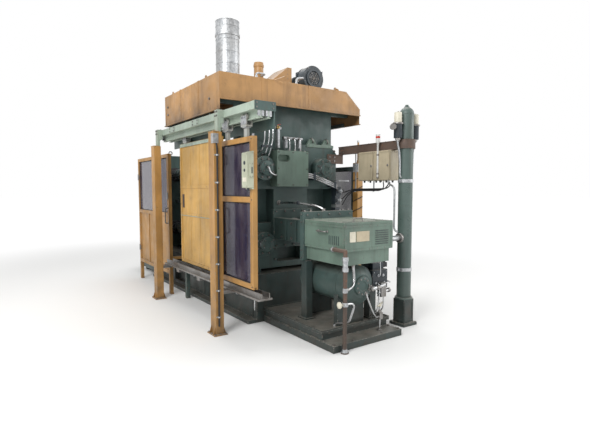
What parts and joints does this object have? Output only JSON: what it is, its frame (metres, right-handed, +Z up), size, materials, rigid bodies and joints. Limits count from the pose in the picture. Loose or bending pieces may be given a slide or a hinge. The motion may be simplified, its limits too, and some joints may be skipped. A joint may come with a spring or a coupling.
{
  "type": "horizontal cold chamber die casting machine",
  "caption": "Die casting machine with platens on tie bars, toggle clamp, shot end, fume hood, accumulator and sliding operator doors.",
  "frame": {"origin": "on the floor, on the machine's centre line, in the plane of the hood's front face", "axes": "+Y along the machine from the shot end to the clamp end, +Z up, -X the operator's side"},
  "size_m": [2.26, 5.728, 3.4],
  "materials": {
    "green_paint": "worn gloss paint with an oily film",
    "dark_green_paint": "old paint, oily and dusty",
    "light_green_paint": "sheet metal paint, dusty",
    "pale_green_paint": "enclosure paint",
    "orange_paint": "faded orange yellow paint with soot",
    "cream_paint": "yellowed enclosure paint",
    "blue_black_paint": "dark paint, oily",
    "worn_steel": "worn bare steel",
    "ground_steel": "ground and oiled steel",
    "galvanised": "zinc coated sheet",
    "rusty_steel": "rusty brown paint",
    "lamp_plastic": "signal lamp plastic",
    "tinted_window": "dark tinted clear plastic sheet"
  },
  "bodies": {
    "machine": {"bed": "dark_green_paint", "way_strips": "worn_steel", "shot_base": "dark_green_paint", "fixed_platen": "green_paint", "moving_platen": "green_paint", "rear_platen": "green_paint", "tie_bars": "ground_steel", "tie_bar_nuts": "worn_steel", "die_height_drive": "worn_steel", "toggle_links": "green_paint", "toggle_pins": "ground_steel", "crosshead": "green_paint", "guide_bars": "ground_steel", "ejector_unit": "blue_black_paint", "closing_cylinder": "green_paint", "closing_rod": "ground_steel", "shot_frame": "green_paint", "shot_supports": "dark_green_paint", "shot_cylinder": "green_paint", "plunger_rod": "ground_steel", "shot_sleeve": "worn_steel", "shot_valve_block": "blue_black_paint", "shot_cover": "light_green_paint", "oil_vessel": "green_paint", "pilot_manifold": "blue_black_paint", "platen_head_block": "light_green_paint", "core_pull_valves": "blue_black_paint", "cooling_manifold": "galvanised", "return_pipe": "rusty_steel", "accumulator": "green_paint", "accumulator_stand": "dark_green_paint", "accumulator_valves": "blue_black_paint", "pressure_pipe": "galvanised", "service_beam": "rusty_steel", "terminal_box": "cream_paint", "signal_lamp": "lamp_plastic", "door_rail": "light_green_paint", "bottom_guide": "worn_steel", "near_posts": "orange_paint", "far_posts": "orange_paint", "far_guard": "dark_green_paint", "toggle_guards": "orange_paint", "guard_windows": "tinted_window", "hood": "orange_paint", "hood_frame": "dark_green_paint", "exhaust_duct": "galvanised", "hood_inlet": "orange_paint", "hood_fan": "blue_black_paint", "oil_tank": "green_paint", "pump_motor": "blue_black_paint"},
    "window_leaf": {"window_door": "orange_paint", "door_window": "tinted_window", "door_switch_box": "pale_green_paint"},
    "sheet_leaf": {"sheet_door": "orange_paint"}
  },
  "joints": [
    {"name": "window_leaf_slide", "type": "slide", "parent": "machine", "child": "window_leaf", "axis": [0, 1, 0], "range_m": [0, 1.6]},
    {"name": "sheet_leaf_slide", "type": "slide", "parent": "machine", "child": "sheet_leaf", "axis": [0, 1, 0], "range_m": [-0.9, 0.35]}
  ]
}
